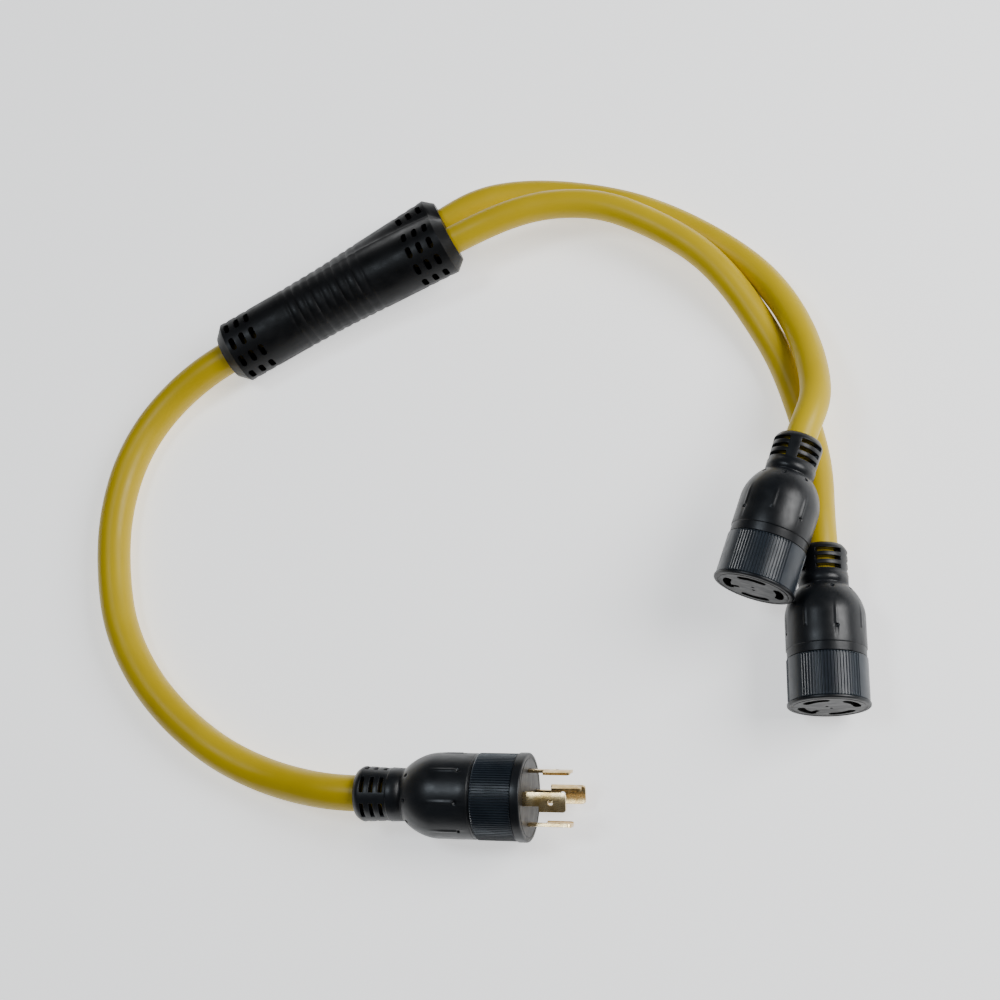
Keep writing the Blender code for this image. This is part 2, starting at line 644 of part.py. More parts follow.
def cords(split, plug, connector_a, connector_b):
    """Each cord starts inside the splitter and ends inside its end fitting."""
    start = [on_axis(split, z) for z in (IN_JACKET_DEPTH, 0.012, -0.004)]
    end = [on_axis(plug, z) for z in (-0.006, 0.012, JACKET_DEPTH)]
    cord("input_cord", INPUT_ROUTE, start, end, INPUT_CORD_D)
    outputs = (("a", OUTPUT_A_ROUTE, -1, connector_a, -0.008),
               ("b", OUTPUT_B_ROUTE, 1, connector_b, -0.007))
    for tag, route, side, fitting, before in outputs:
        exits = (OUT_JACKET_AT, SPLITTER_LENGTH - 0.010, SPLITTER_LENGTH + 0.007)
        start = [on_axis(split, z, side) for z in exits]
        end = [on_axis(fitting, z) for z in (before, 0.012, JACKET_DEPTH)]
        cord("output_cord_" + tag, route, start, end, OUTPUT_CORD_D)


def main():
    plug = end_fitting("plug", PLUG, PLUG_PLACE, INPUT_WIRE_D)
    connector_a = end_fitting("connector_a", CONNECTOR, CONNECTOR_A_PLACE, OUTPUT_WIRE_D)
    connector_b = end_fitting("connector_b", CONNECTOR, CONNECTOR_B_PLACE, OUTPUT_WIRE_D)
    cords(splitter(), plug, connector_a, connector_b)
    bpy.context.view_layer.update()


main()
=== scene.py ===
import json
from math import asin, cos, exp, pi, radians, sin, sqrt, tau

import bmesh
import bpy
from mathutils import Matrix, Vector, geometry


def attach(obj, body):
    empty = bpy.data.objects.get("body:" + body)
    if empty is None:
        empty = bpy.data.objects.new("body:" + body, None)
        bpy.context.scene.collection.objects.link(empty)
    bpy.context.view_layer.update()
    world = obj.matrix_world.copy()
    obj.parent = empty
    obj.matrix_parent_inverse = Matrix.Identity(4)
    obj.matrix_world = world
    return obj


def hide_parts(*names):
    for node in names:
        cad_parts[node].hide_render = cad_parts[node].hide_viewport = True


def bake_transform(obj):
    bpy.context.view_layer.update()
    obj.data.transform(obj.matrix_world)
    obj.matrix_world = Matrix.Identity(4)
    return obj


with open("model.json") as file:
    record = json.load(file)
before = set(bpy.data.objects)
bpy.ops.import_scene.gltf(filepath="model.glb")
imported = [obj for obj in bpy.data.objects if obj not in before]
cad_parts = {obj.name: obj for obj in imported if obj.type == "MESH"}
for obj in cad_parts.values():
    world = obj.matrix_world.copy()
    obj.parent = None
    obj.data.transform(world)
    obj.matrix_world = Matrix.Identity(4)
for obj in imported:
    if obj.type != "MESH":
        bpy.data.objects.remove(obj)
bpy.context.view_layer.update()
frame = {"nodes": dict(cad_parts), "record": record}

# ---------------------------------------------------------------- driving dimensions (metres)
GAP = 0.0003
INPUT_CORD_D = 0.0185
OUTPUT_CORD_D = 0.016
JACKET_DEPTH = 0.023          # how far a jacket reaches into a housing
CAVITY_R = 0.0167             # bore around the contact carrier
CARRIER_R = 0.0164
CARRIER_DEPTH = 0.022
CONE_START = 0.0245
CONE_END = 0.0375
PIN_R = 0.0135                # circle on which blades and slots lie
MOUTH_ROUND = 0.0035          # length of the rounding at a housing's mouth
MOUTH_DROP = 0.0018           # how much narrower the mouth's edge is
RING_AFTER_SLOTS = 0.0028     # from the last flex slot to the raised ring
RING_BEFORE_BELL = 0.0008     # from the raised ring to the shoulder

PLUG = dict(length=0.090, neck=0.0252, mouth_r=0.0141, root_r=0.0130, bell_r=0.0216,
            band_start=0.0640, band_r=0.0218, rim=0.0045, rim_r=0.0223, seat_r=0.0199,
            bore_r=INPUT_CORD_D / 2 + GAP, columns=6, slot_degrees=36,
            slot_rows=(0.0050, 0.0100, 0.0150), rib_from=0.0395, rib_to=0.0560, ridges=100,
            root_pit=0.0287, ridge_depth=0.00070, pit_every=1, step=0.0012, reach=0.0185,
            rib_height=0.00045)
CONNECTOR = dict(length=0.082, neck=0.0210, mouth_r=0.0126, root_r=0.0121, bell_r=0.0200,
                 band_start=0.0580, band_r=0.0200, rim=0.0014, rim_r=0.0205, seat_r=0.0184,
                 bore_r=OUTPUT_CORD_D / 2 + GAP, columns=4, slot_degrees=62,
                 slot_rows=(0.0043, 0.0085, 0.0127), rib_from=0.0310, rib_to=0.0450, ridges=80,
                 root_pit=0.0240, ridge_depth=0.00055, pit_every=2, step=0.0045, reach=0.0165,
                 rib_height=0.00028)
# Ridged arcs of each collar, in degrees: the first one's middle, half its width, how many.
KNURLS = {"plug": (0, 180, 1), "connector_a": (55, 40, 3), "connector_b": (25, 43, 3)}
SLOT_WIDTH = 0.0021
PITS = 8                      # shallow pits round each shoulder, and as many ribs on each bell
PIT_R = 0.0009
PIT_DEPTH = 0.0010

SPLITTER_LENGTH = 0.146
SPLITTER_IN_R = 0.0183
SPLITTER_OUT_R = 0.0172
BRANCH_HALF_GAP = 0.012
BRANCH_START = 0.040
IN_JACKET_DEPTH = 0.028
OUT_JACKET_AT = 0.118
SPLITTER_ROLL = -120.0
PLUG_ROLL, CONNECTOR_A_ROLL, CONNECTOR_B_ROLL = 18.0, -1.0, 26.0

# Camera and route points are in the layout's own frame; SHIFT moves them into the row's frame.
SHIFT = Vector((-0.0111, 0.0012, 0.0))
CAMERA_AT = Vector((0.2116, -0.3036, 0.8543))
CAMERA_AIM = Vector((0.0, 0.0, 0.012))
CAMERA_LENS = 61.36           # on a 36 mm sensor

INPUT_ROUTE = [
    (-0.1735, 0.0924, 0.0166), (-0.1885, 0.0840, 0.0128), (-0.2030, 0.0722, 0.0099),
    (-0.2160, 0.0535, 0.0093), (-0.2240, 0.0322, 0.0093), (-0.2277, 0.0082, 0.0093),
    (-0.2272, -0.0158, 0.0093), (-0.2206, -0.0516, 0.0093), (-0.2061, -0.0812, 0.0093),
    (-0.1861, -0.1056, 0.0093), (-0.1617, -0.1260, 0.0093), (-0.1445, -0.1362, 0.0093),
    (-0.1265, -0.1442, 0.0100), (-0.1045, -0.1513, 0.0152), (-0.0890, -0.1550, 0.0194),
]
OUTPUT_A_ROUTE = [
    (-0.0115, 0.1808, 0.0158), (0.0045, 0.1844, 0.0124), (0.0225, 0.1850, 0.0092),
    (0.0495, 0.1798, 0.0081), (0.0803, 0.1685, 0.0081), (0.1109, 0.1500, 0.0081),
    (0.1396, 0.1253, 0.0090), (0.1560, 0.1020, 0.0125), (0.1668, 0.0751, 0.0182),
    (0.1716, 0.0503, 0.0268), (0.1720, 0.0322, 0.0333),
]
OUTPUT_B_ROUTE = [
    (-0.0050, 0.1570, 0.0311), (0.0090, 0.1622, 0.0303), (0.0270, 0.1668, 0.0280),
    (0.0450, 0.1675, 0.0252), (0.0623, 0.1651, 0.0228), (0.0814, 0.1558, 0.0213),
    (0.0982, 0.1450, 0.0200), (0.1148, 0.1314, 0.0188), (0.1276, 0.1164, 0.0155),
    (0.1376, 0.1010, 0.0118), (0.1465, 0.0845, 0.0089), (0.1543, 0.0675, 0.0081),
    (0.1631, 0.0365, 0.0081), (0.1686, 0.0090, 0.0097), (0.1694, -0.0095, 0.0133),
    (0.1689, -0.0253, 0.0174),
]


JACKET_STEP = 0.0035          # spacing of a cord path's points
JACKET_SIDES = 40
RELAX_ROUNDS = 12
INSIDE = 0.012                # a path point this far inside a mouth keeps the cord straight there

FLOOR_GLOW = 0.9
WORLD_STRENGTH = 0.11
KEY_LIGHT = dict(at=(1.20, 0.20, 0.95), size=0.8, power=24)
FILL_LIGHT = dict(at=(-0.55, 0.12, 1.55), size=0.4, power=7, colour=(0.82, 0.91, 1.0))


# ---------------------------------------------------------------- frames read from the record
JOINTS = {joint["name"]: joint for joint in frame["record"]["behaviour"]["joints"]}


def axis_frame(origin, direction, roll):
    """A matrix whose +Z is the direction and whose +X points down when roll is 0."""
    z = Vector(direction).normalized()
    down = Vector((0, 0, -1))
    x = (down - z * down.dot(z)).normalized()
    turn = Matrix((x, z.cross(x), z)).transposed().to_4x4()
    return Matrix.Translation(Vector(origin)) @ turn @ Matrix.Rotation(radians(roll), 4, "Z")


def housing_frame(joint, roll):
    """The frame of a housing: it stands on its twist joint, turned by its own roll."""
    return axis_frame(JOINTS[joint]["pos_m"], JOINTS[joint]["axis"], roll)


PLUG_AT = housing_frame("plug_twist", PLUG_ROLL)
CONNECTOR_A_AT = housing_frame("connector_a_twist", CONNECTOR_A_ROLL)
CONNECTOR_B_AT = housing_frame("connector_b_twist", CONNECTOR_B_ROLL)
SPLITTER_MOUTH = Vector(JOINTS["input_lead_bend"]["pos_m"])
SPLITTER_END = Vector(JOINTS["output_leads_bend"]["pos_m"])
SPLITTER_AT = axis_frame(SPLITTER_MOUTH, SPLITTER_END - SPLITTER_MOUTH, SPLITTER_ROLL)


def branch_matrix(side):
    """Tilts the splitter frame into one of its two output barrels; side is 1 or -1."""
    tilt = asin(BRANCH_HALF_GAP / (SPLITTER_LENGTH - BRANCH_START))
    hinge = Matrix.Translation((0, 0, BRANCH_START))
    return hinge @ Matrix.Rotation(side * tilt, 4, "Y") @ hinge.inverted()


def on_axis(place, z, side=0):
    """A point on a housing axis, or on an output barrel axis when a side is given."""
    local = Vector((0, 0, z))
    return place @ (branch_matrix(side) @ local if side else local)


def ease(t):
    """A smooth step from 0 to 1."""
    t = min(max(t, 0.0), 1.0)
    return t * t * (3 - 2 * t)


# ---------------------------------------------------------------- node materials
def new_material(name, colour, roughness, metallic=0.0):
    """A material with its node tree and its shader."""
    mat = bpy.data.materials.new(name)
    mat.use_nodes = True
    shader = mat.node_tree.nodes["Principled BSDF"]
    shader.inputs["Base Color"].default_value = (*colour, 1)
    shader.inputs["Roughness"].default_value = roughness
    shader.inputs["Metallic"].default_value = metallic
    return mat, mat.node_tree, shader


def object_coords(tree, scale=(1, 1, 1)):
    """Object coordinates, stretched by the scale."""
    coords = tree.nodes.new("ShaderNodeTexCoord")
    mapping = tree.nodes.new("ShaderNodeMapping")
    mapping.inputs["Scale"].default_value = scale
    tree.links.new(coords.outputs["Object"], mapping.inputs["Vector"])
    return mapping.outputs["Vector"]


def noise(tree, vector, scale, detail=4.0, rough=0.55):
    """The value of a noise texture."""
    node = tree.nodes.new("ShaderNodeTexNoise")
    node.inputs["Scale"].default_value = scale
    node.inputs["Detail"].default_value = detail
    node.inputs["Roughness"].default_value = rough
    tree.links.new(vector, node.inputs["Vector"])
    return node.outputs["Fac"]


def ramp(tree, value, stops):
    """A colour ramp; stops are (position, colour or grey level)."""
    node = tree.nodes.new("ShaderNodeValToRGB")
    elements = node.color_ramp.elements
    while len(elements) < len(stops):
        elements.new(0.5)
    for element, (position, colour) in zip(elements, stops):
        element.position = position
        element.color = (*colour, 1) if isinstance(colour, tuple) else (colour, colour, colour, 1)
    tree.links.new(value, node.inputs["Fac"])
    return node.outputs["Color"]


def spread(tree, value, low, high):
    """Map a 0.3..0.7 noise value onto the range low..high."""
    node = tree.nodes.new("ShaderNodeMapRange")
    node.inputs["From Min"].default_value = 0.3
    node.inputs["From Max"].default_value = 0.7
    node.inputs["To Min"].default_value = low
    node.inputs["To Max"].default_value = high
    tree.links.new(value, node.inputs["Value"])
    return node.outputs["Result"]


def bump(tree, shader, height, strength, distance):
    """Drive the shader normal from a height value."""
    node = tree.nodes.new("ShaderNodeBump")
    node.inputs["Strength"].default_value = strength
    node.inputs["Distance"].default_value = distance
    tree.links.new(height, node.inputs["Height"])
    tree.links.new(node.outputs["Normal"], shader.inputs["Normal"])


def plastic(name, dark, light, rough_low, rough_high, grain, depth, specular=0.5):
    """Moulded plastic: blotchy colour, uneven gloss and a fine moulded grain."""
    middle = tuple((a + b) / 2 for a, b in zip(dark, light))
    mat, tree, shader = new_material(name, middle, (rough_low + rough_high) / 2)
    vector = object_coords(tree)
    blotch = noise(tree, vector, 60)
    tree.links.new(ramp(tree, blotch, [(0.35, dark), (0.65, light)]), shader.inputs["Base Color"])
    smear = noise(tree, object_coords(tree, (1, 1, 2.5)), 140)
    tree.links.new(spread(tree, smear, rough_low, rough_high), shader.inputs["Roughness"])
    bump(tree, shader, noise(tree, vector, grain, 3.0, 0.6), 0.35, depth)
    shader.inputs["Specular IOR Level"].default_value = specular
    return mat


def jacket_material(name):
    """Smooth yellow vinyl: faint lay of the conductors, dull handling marks, soft gloss."""
    mat, tree, shader = new_material(name, (0.80, 0.55, 0.03), 0.4)
    vector = object_coords(tree)
    cloud = noise(tree, vector, 14, 3.0)
    body = ramp(tree, cloud, [(0.30, (0.48, 0.330, 0.0002)), (0.55, (0.54, 0.380, 0.0004)),
                              (0.75, (0.60, 0.430, 0.0008))])
    speck = ramp(tree, noise(tree, vector, 420, 2.0), [(0.66, 0.0), (0.74, 1.0)])
    mix = tree.nodes.new("ShaderNodeMix")
    mix.data_type = "RGBA"
    mix.inputs["B"].default_value = (0.42, 0.29, 0.03, 1)
    fade = tree.nodes.new("ShaderNodeMath")
    fade.operation = "MULTIPLY"
    fade.inputs[1].default_value = 0.22
    tree.links.new(speck, fade.inputs[0])
    tree.links.new(fade.outputs[0], mix.inputs["Factor"])
    tree.links.new(body, mix.inputs["A"])
    tree.links.new(mix.outputs["Result"], shader.inputs["Base Color"])
    tree.links.new(spread(tree, noise(tree, vector, 75), 0.34, 0.50), shader.inputs["Roughness"])
    bump(tree, shader, noise(tree, vector, 260, 2.0), 0.22, 0.00012)
    shader.inputs["Specular IOR Level"].default_value = 0.3
    shader.inputs["Coat Weight"].default_value = 0.04
    shader.inputs["Coat Roughness"].default_value = 0.30
    return mat


def metal(name, dark, light, rough_low, rough_high):
    """Stamped metal: faint tarnish clouds and fine rolling scratches."""
    middle = tuple((a + b) / 2 for a, b in zip(dark, light))
    mat, tree, shader = new_material(name, middle, (rough_low + rough_high) / 2, 1.0)
    vector = object_coords(tree)
    tarnish = noise(tree, vector, 130)
    tree.links.new(ramp(tree, tarnish, [(0.35, dark), (0.62, light)]), shader.inputs["Base Color"])
    scratches = noise(tree, object_coords(tree, (1, 9, 9)), 500, 3.0)
    tree.links.new(spread(tree, scratches, rough_low, rough_high), shader.inputs["Roughness"])
    bump(tree, shader, scratches, 0.15, 0.00005)
    return mat


# Near-black is the vinyl's own colour; its slight blue tint is a painted bluish sheen.
BLUE_SHEEN_BLACK = plastic("black_vinyl_painted_blue_sheen", (0.0025, 0.0032, 0.0045), (0.0055, 0.0068, 0.0090), 0.30, 0.44,
                900, 0.00006, specular=0.38)
# The ridged band is dark vinyl; its lighter, bluish colour is a painted bluish sheen of the
# ridges.
SHEEN_TINTED_GRIP = plastic("ridged_vinyl_painted_sheen", (0.0080, 0.0125, 0.0190), (0.0150, 0.0220, 0.0310), 0.30, 0.44,
               1100, 0.00006)
SPLITTER_BLACK = plastic("splitter_vinyl", (0.0016, 0.0018, 0.0022), (0.0040, 0.0042, 0.0050),
                         0.36, 0.54, 700, 0.00009, specular=0.22)
FACE = plastic("carrier_nylon", (0.0055, 0.0050, 0.0045), (0.0110, 0.0100, 0.0090), 0.38, 0.55,
               800, 0.00008, specular=0.35)
MOULD = plastic("natural_mould", (0.30, 0.30, 0.29), (0.42, 0.41, 0.39), 0.5, 0.7, 500, 0.00008)
YELLOW = jacket_material("yellow_vinyl")
BRASS = metal("brass", (0.55, 0.37, 0.14), (0.83, 0.65, 0.36), 0.20, 0.36)
TINNED = metal("tinned_copper", (0.45, 0.42, 0.38), (0.70, 0.67, 0.62), 0.28, 0.45)
WIRE_COLOURS = {
    "black": ((0.008, 0.008, 0.008), (0.02, 0.02, 0.02)),
    "white": ((0.62, 0.62, 0.59), (0.78, 0.78, 0.75)),
    "red": ((0.40, 0.015, 0.012), (0.58, 0.03, 0.02)),
    "green": ((0.012, 0.20, 0.04), (0.02, 0.30, 0.07)),
}
WIRES = {"wire_" + colour: plastic(colour + "_wire", dark, light, 0.4, 0.6, 500, 0.00006)
         for colour, (dark, light) in WIRE_COLOURS.items()}
SLOT_MATERIALS = dict(WIRES, black_pvc=BLUE_SHEEN_BLACK, grip_rubber=SHEEN_TINTED_GRIP, yellow_pvc=YELLOW,
                      carrier_nylon=FACE, inner_mould=MOULD, brass=BRASS, tinned_copper=TINNED)


# ---------------------------------------------------------------- mesh helpers
def polar(radius, angle, z):
    """The point at a radius, angle and height."""
    return (radius * cos(angle), radius * sin(angle), z)


def wall(bm, angles, stations, outer, inner, keep=None, closed=True):
    """A curved wall between two radii over a grid of angles and heights.

    outer(angle, z) and inner(angle, z) give the radii; keep(angle, z) says which cells exist.
    """
    count, last = len(angles), len(stations) - 1
    cells = count if closed else count - 1
    out = [[bm.verts.new(polar(outer(a, z), a, z)) for a in angles] for z in stations]
    inn = [[bm.verts.new(polar(inner(a, z), a, z)) for a in angles] for z in stations]

    def solid(j, i):
        if not 0 <= j < last or not (closed or 0 <= i < cells):
            return False
        if keep is None:
            return True
        low = angles[i % count]
        high = angles[(i + 1) % count] + (tau if closed and (i + 1) % count == 0 else 0)
        return keep((low + high) / 2, (stations[j] + stations[j + 1]) / 2)

    for j in range(last):
        for i in range(cells):
            if not solid(j, i):
                continue
            k = (i + 1) % count
            bm.faces.new((out[j][i], out[j][k], out[j + 1][k], out[j + 1][i]))
            bm.faces.new((inn[j][i], inn[j + 1][i], inn[j + 1][k], inn[j][k]))
            if not solid(j - 1, i):
                bm.faces.new((out[j][i], inn[j][i], inn[j][k], out[j][k]))
            if not solid(j + 1, i):
                bm.faces.new((out[j + 1][i], out[j + 1][k], inn[j + 1][k], inn[j + 1][i]))
            if not solid(j, i - 1):
                bm.faces.new((out[j][i], out[j + 1][i], inn[j + 1][i], inn[j][i]))
            if not solid(j, i + 1):
                bm.faces.new((out[j][k], inn[j][k], inn[j + 1][k], out[j + 1][k]))
    bmesh.ops.delete(bm, geom=[v for v in bm.verts if not v.link_faces], context="VERTS")


def circle_angles(count):
    return [tau * i / count for i in range(count)]


def merged(*groups):
    """Sorted heights from several lists, without near doubles."""
    values = sorted(v for group in groups for v in group)
    kept = values[:1]
    for value in values[1:]:
        if value - kept[-1] > 0.00012:
            kept.append(value)
    return kept


def steps(low, high, count):
    """Evenly spaced values from low to high, both included."""
    return [low + (high - low) * i / count for i in range(count + 1)]


def crisp(obj, width, angle=50):
    """Narrow bevels on edges sharper than the angle, in degrees."""
    edge = obj.modifiers.new("edges", "BEVEL")
    edge.width = width
    edge.segments = 2
    edge.limit_method = "ANGLE"
    edge.angle_limit = radians(angle)


def finished(name, bm, place, mats, sharp=40, bevel=0.0):
    """An object from a local mesh, placed by the matrix, smooth with crisp bevelled edges."""
    mesh = bpy.data.meshes.new(name)
    bm.to_mesh(mesh)
    bm.free()
    mesh.transform(place)
    for mat in mats:
        mesh.materials.append(mat)
    mesh.shade_smooth()
    obj = bpy.data.objects.new(name, mesh)
    bpy.context.scene.collection.objects.link(obj)
    if bevel:
        crisp(obj, bevel, 62)
    else:
        mesh.set_sharp_from_angle(angle=radians(sharp))
    return obj


def turned_bm(profile, segments):
    """A closed solid of revolution from (radius, z) points on a closed outline."""
    bm = bmesh.new()
    rings = []
    for radius, z in profile:
        if radius < 1e-7:
            rings.append([bm.verts.new((0, 0, z))])
        else:
            rings.append([bm.verts.new(polar(radius, a, z)) for a in circle_angles(segments)])
    for low, high in zip(rings, rings[1:] + rings[:1]):
        if len(low) == 1 and len(high) == 1:
            continue
        for i in range(segments):
            k = (i + 1) % segments
            corners = [low[i % len(low)], low[k % len(low)]]
            corners += [high[k % len(high)], high[i % len(high)]]
            bm.faces.new(list(dict.fromkeys(corners)))
    bmesh.ops.recalc_face_normals(bm, faces=bm.faces)
    return bm


def outline_solid(bm, points, low, high):
    """A flat outline raised from one height to another."""
    base = [bm.verts.new((x, y, low)) for x, y in points]
    face = bm.faces.new(base)
    side = bmesh.ops.extrude_face_region(bm, geom=[face])["geom"]
    moved = [v for v in side if isinstance(v, bmesh.types.BMVert)]
    bmesh.ops.translate(bm, verts=moved, vec=(0, 0, high - low))


def radial_bar(bm, angle, inner, outer, width, low, high):
    """A straight bar lying along a radius, between two distances from the axis."""
    along = Vector((cos(angle), sin(angle)))
    across = Vector((-sin(angle), cos(angle))) * width / 2
    corners = [along * inner - across, along * outer - across,
               along * outer + across, along * inner + across]
    outline_solid(bm, [tuple(c) for c in corners], low, high)


def arc_outline(inner, outer, start, end, count=16):
    """A curved strip between two radii with rounded ends; angles in degrees."""
    angles = [radians(start + (end - start) * i / count) for i in range(count + 1)]
    middle, half = (inner + outer) / 2, (outer - inner) / 2
    points = [(outer * cos(a), outer * sin(a)) for a in angles]
    for angle, sign in ((angles[-1], 1), (angles[0], -1)):
        centre = Vector((middle * cos(angle), middle * sin(angle)))
        along = Vector((-sin(angle), cos(angle))) * sign
        out = Vector((cos(angle), sin(angle))) * sign
        for i in range(1, 6):
            turn = pi * i / 6
            points.append(tuple(centre + (out * cos(turn) + along * sin(turn)) * half))
        if sign > 0:
            points += [(inner * cos(a), inner * sin(a)) for a in reversed(angles)]
    return points


# ---------------------------------------------------------------- camera
def make_camera():
    """The camera looks down and slightly from the front right, as for a product picture."""
    data = bpy.data.cameras.new("camera")
    data.lens = CAMERA_LENS
    data.sensor_width = 36
    data.clip_start = 0.01
    camera = bpy.data.objects.new("camera", data)
    bpy.context.scene.collection.objects.link(camera)
    at, aim = CAMERA_AT + SHIFT, CAMERA_AIM + SHIFT
    back = (at - aim).normalized()
    right = Vector((0, 1, 0)).cross(back).normalized()
    turn = Matrix((right, back.cross(right), back)).transposed().to_4x4()
    camera.matrix_world = Matrix.Translation(at) @ turn
    bpy.context.scene.camera = camera


# ---------------------------------------------------------------- cords
def smooth_path(points, step):
    """Evenly spaced points of a smooth curve through the route's own points."""
    knots = [Vector(p) for p in points]
    fine = []
    for i in range(len(knots) - 1):
        before = knots[max(i - 1, 0)]
        after = knots[min(i + 2, len(knots) - 1)]
        span = (knots[i + 1] - knots[i]).length
        lead_in = (knots[i + 1] - before).normalized() * span / 3
        lead_out = (after - knots[i]).normalized() * span / 3
        piece = geometry.interpolate_bezier(knots[i], knots[i] + lead_in,
                                            knots[i + 1] - lead_out, knots[i + 1], 40)
        fine += piece[:-1]
    fine.append(knots[-1])
    total = sum((b - a).length for a, b in zip(fine, fine[1:]))
    count = max(2, round(total / step))
    path, target, run = [fine[0]], total / count, 0.0
    for a, b in zip(fine, fine[1:]):
        run += (b - a).length
        if run >= target * len(path) and len(path) < count:
            path.append(b)
    return path + [fine[-1]], total


def smoothed(path, rounds):
    """Relax the path's points a little, so that its curvature changes gently."""
    for _ in range(rounds):
        inner = [(a + b * 2 + c) / 4 for a, b, c in zip(path, path[1:], path[2:])]
        path = [path[0]] + inner + [path[-1]]
    return path


def tube_bm(path, radius, sides):
    """A closed tube along the path, with a frame carried along so that it never twists."""
    bm = bmesh.new()
    rings, side = [], Vector((0, 0, 1))
    for i, point in enumerate(path):
        ahead = (path[min(i + 1, len(path) - 1)] - path[max(i - 1, 0)]).normalized()
        side = (side - ahead * side.dot(ahead)).normalized()
        other = ahead.cross(side)
        rings.append([bm.verts.new(point + (side * cos(a) + other * sin(a)) * radius)
                      for a in circle_angles(sides)])
    for low, high in zip(rings, rings[1:]):
        for i in range(sides):
            k = (i + 1) % sides
            bm.faces.new((low[i], low[k], high[k], high[i]))
    bm.faces.new(reversed(rings[0]))
    bm.faces.new(rings[-1])
    return bm


def make_cord(name, route, start, end, diameter):
    """A yellow jacket from inside the splitter to inside its fitting."""
    points = start + [Vector(p) + SHIFT for p in route] + end
    path, length = smooth_path(points, JACKET_STEP)
    path = smoothed(path, RELAX_ROUNDS)
    obj = finished(name, tube_bm(path, diameter / 2, JACKET_SIDES), Matrix(), [YELLOW])
    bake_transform(obj)
    return dict(obj=obj, path=path, length=length, diameter=diameter)


def make_cords():
    """The three jackets; each bends over the stretch next to the splitter."""
    start = [on_axis(SPLITTER_AT, z) for z in (IN_JACKET_DEPTH, INSIDE, -0.004)]
    end = [on_axis(PLUG_AT, z) for z in (-0.006, INSIDE, JACKET_DEPTH)]
    cords = {"input": make_cord("input_jacket", INPUT_ROUTE, start, end, INPUT_CORD_D)}
    cords["input"]["exit"] = SPLITTER_MOUTH
    for tag, route, side, place, before in (("a", OUTPUT_A_ROUTE, -1, CONNECTOR_A_AT, -0.008),
                                            ("b", OUTPUT_B_ROUTE, 1, CONNECTOR_B_AT, -0.007)):
        exits = (OUT_JACKET_AT, SPLITTER_LENGTH - 0.010, SPLITTER_LENGTH + 0.007)
        start = [on_axis(SPLITTER_AT, z, side) for z in exits]
        end = [on_axis(place, z) for z in (before, INSIDE, JACKET_DEPTH)]
        cords[tag] = make_cord(f"output_jacket_{tag}", route, start, end, OUTPUT_CORD_D)
        cords[tag]["exit"] = on_axis(SPLITTER_AT, SPLITTER_LENGTH, side)
    return cords


def declare_cord(node):
    """Hide the CAD node that the jacket replaces."""
    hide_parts(node)


# ---------------------------------------------------------------- housings
RIB_HALF_WIDTH = 0.0008
RING_HEIGHT = 0.00035         # raised ring behind the flex slots
STEP_DROP = 0.00045           # the bell's last stretch, just before the ridged band
SHOULDER_LEAN = 1.15
SHOULDER_FULLNESS = 0.9
BODY_ANGLES = 240
BAND_EDGE = 0.0003            # narrow chamfer at the ends of the ridged band
RIDGE_FADE = 0.0004


def base_radius(h, z):
    """Outer radius without ribs and pits."""
    ring_from, ring_to = h["slot_rows"][-1] + RING_AFTER_SLOTS, h["neck"] - RING_BEFORE_BELL
    if z < MOUTH_ROUND:
        return h["mouth_r"] - MOUTH_DROP * (1 - sin(z / MOUTH_ROUND * pi / 2))
    if z < h["neck"]:
        taper = (z - MOUTH_ROUND) / (h["neck"] - MOUTH_ROUND)
        ring = RING_HEIGHT if ring_from < z < ring_to else 0.0
        return h["mouth_r"] + (h["root_r"] - h["mouth_r"]) * taper + ring
    if z < h["neck"] + h["reach"]:
        t = ((z - h["neck"]) / h["reach"]) ** (1 / SHOULDER_LEAN)
        return h["root_r"] + (h["bell_r"] - h["root_r"]) * sin(t * pi / 2) ** SHOULDER_FULLNESS
    if z > h["band_start"]:
        return h["seat_r"]
    return h["bell_r"] - (STEP_DROP if z > h["band_start"] - h["step"] else 0.0)


def near(angle, pitch):
    """(signed angle to the nearest multiple of the pitch, that multiple's index)."""
    index = round(angle / pitch)
    return angle - index * pitch, index


def body_radius(h):
    """Outer radius of a housing as a function of angle and height, with ribs and pits."""
    def radius(angle, z):
        r = base_radius(h, z)
        off, index = near(angle, tau / PITS)
        across = abs(off) * r
        if h["rib_from"] < z < h["rib_to"] and across < RIB_HALF_WIDTH:
            climb = ease((z - h["rib_from"]) / (h["rib_to"] - h["rib_from"]) * 1.6)
            r += h["rib_height"] * climb * (1 - (across / RIB_HALF_WIDTH) ** 3)
        pits = [h["root_pit"]]
        if index % h["pit_every"] == h["pit_every"] - 1:
            pits.append(h["rib_to"] + PIT_R)
        for pit in pits:
            away = sqrt(across ** 2 + (z - pit) ** 2) / PIT_R
            if away < 1:
                r -= PIT_DEPTH * sqrt(1 - away ** 2)
        return r
    return radius


def bore_radius(h):
    """Inner radius: the cord bore, a cone, then the cavity for the contact carrier."""
    def radius(angle, z):
        t = (z - CONE_START) / (CONE_END - CONE_START)
        return h["bore_r"] + (CAVITY_R - h["bore_r"]) * min(max(t, 0.0), 1.0)
    return radius


def in_slot(h, angle, z):
    """Whether a cell of the neck wall belongs to a flex slot."""
    pitch = tau / h["columns"]
    off, _ = near(angle - pitch / 2, pitch)
    row = min(abs(z - s) for s in h["slot_rows"])
    return abs(off) < radians(h["slot_degrees"] / 2) and row < SLOT_WIDTH / 2


